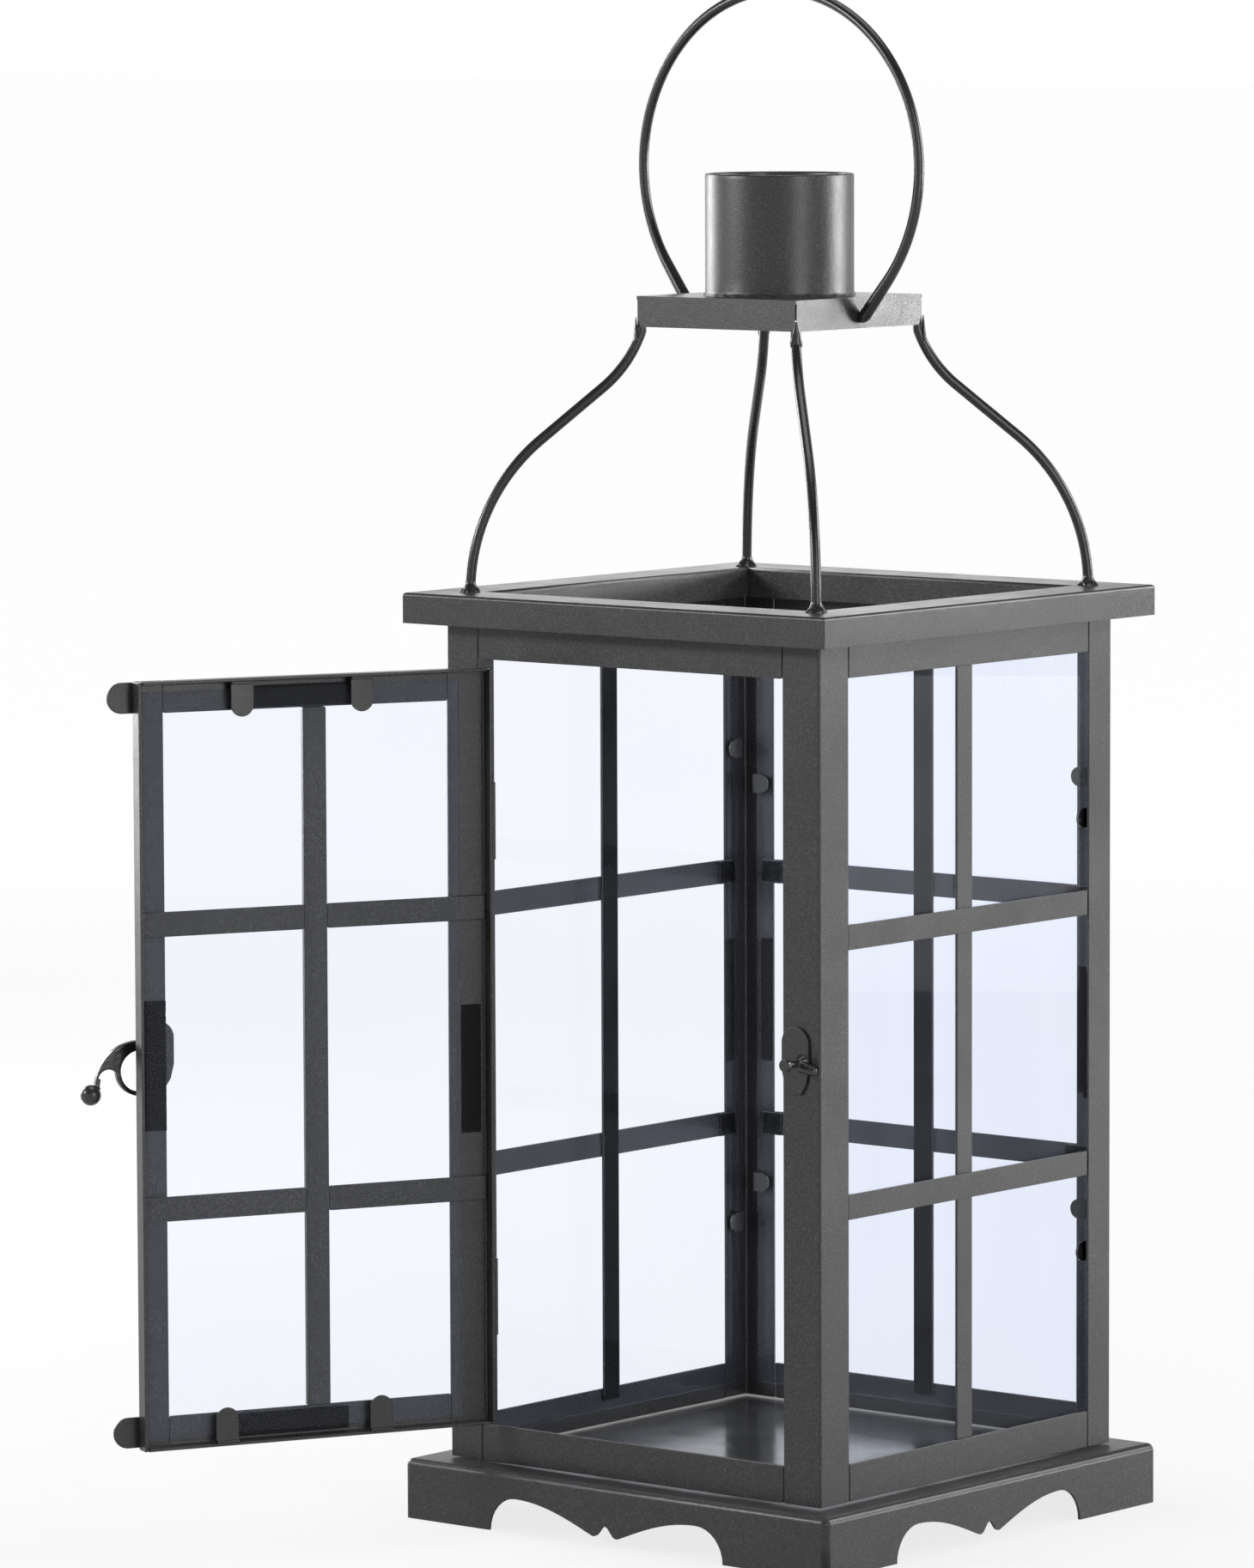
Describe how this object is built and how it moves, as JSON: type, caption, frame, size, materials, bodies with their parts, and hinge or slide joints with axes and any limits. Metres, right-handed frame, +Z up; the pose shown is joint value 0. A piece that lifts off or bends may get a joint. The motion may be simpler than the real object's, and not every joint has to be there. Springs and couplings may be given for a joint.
{
  "type": "candle lantern",
  "caption": "Square free-standing metal candle lantern with glazed sides, a hinged latched door, bowed wire arms, a flue cap and a ring handle.",
  "frame": {"origin": "centre of the square base on the ground", "axes": "+Z up, -Y out through the door face, +X towards the catch side"},
  "size_m": [0.2678, 0.3627, 0.6248],
  "materials": {
    "painted_sheet": "satin charcoal paint with a fine metallic fleck",
    "black_fittings": "semi-gloss black paint on small cast and bent fittings",
    "pane_glass": "clear float glass, polished",
    "cushion_rubber": "matt black foam strip"
  },
  "bodies": {
    "lantern": {"base_shell": "painted_sheet", "post_front_left": "painted_sheet", "post_front_right": "painted_sheet", "post_back_right": "painted_sheet", "post_back_left": "painted_sheet", "bottom_rail_front": "painted_sheet", "bottom_rail_right": "painted_sheet", "bottom_rail_back": "painted_sheet", "bottom_rail_left": "painted_sheet", "top_rail_front": "painted_sheet", "top_rail_right": "painted_sheet", "top_rail_back": "painted_sheet", "top_rail_left": "painted_sheet", "bar_upright_right": "painted_sheet", "bar_upright_back": "painted_sheet", "bar_upright_left": "painted_sheet", "bars_level_right": "painted_sheet", "bars_level_back": "painted_sheet", "bars_level_left": "painted_sheet", "glass_right": "pane_glass", "glass_back": "pane_glass", "glass_left": "pane_glass", "clips_right": "black_fittings", "clips_back": "black_fittings", "clips_left": "black_fittings", "pads_body": "cushion_rubber", "top_rim": "painted_sheet", "arm_front_left": "painted_sheet", "arm_front_right": "painted_sheet", "arm_back_right": "painted_sheet", "arm_back_left": "painted_sheet", "cap_tray": "painted_sheet", "flue_collar": "painted_sheet", "hinge_upper_post_leaf": "painted_sheet", "hinge_lower_post_leaf": "painted_sheet", "hinge_upper_pin": "black_fittings", "hinge_lower_pin": "black_fittings", "catch_plate": "painted_sheet", "catch_stud": "black_fittings", "catch_rivet": "black_fittings"},
    "door": {"door_stile_hinge": "painted_sheet", "door_stile_latch": "painted_sheet", "door_rail_top": "painted_sheet", "door_rail_bottom": "painted_sheet", "door_bar_upright": "painted_sheet", "door_bars_level": "painted_sheet", "door_glass": "pane_glass", "door_clips": "black_fittings", "door_pads": "cushion_rubber", "door_stops": "painted_sheet", "hinge_upper_door_leaf": "painted_sheet", "hinge_lower_door_leaf": "painted_sheet", "latch_plate": "painted_sheet", "latch_pivot": "black_fittings"},
    "lever": {"latch_lever": "black_fittings"},
    "handle": {"carry_handle": "painted_sheet"}
  },
  "joints": [
    {"name": "door_hinge", "type": "hinge", "parent": "lantern", "child": "door", "pos_m": [-0.076, -0.0992, 0.197], "axis": [0, 0, -1], "range_deg": [-115.7, 54.3]},
    {"name": "latch_turn", "type": "hinge", "parent": "door", "child": "lever", "pos_m": [-0.14235, -0.22508, 0.2035], "axis": [-0.9011, 0.4337, 0], "range_deg": [-12, 70]},
    {"name": "handle_swing", "type": "hinge", "parent": "lantern", "child": "handle", "pos_m": [0, 0, 0.4913], "axis": [1, 0, 0], "range_deg": [-110, 110]}
  ]
}
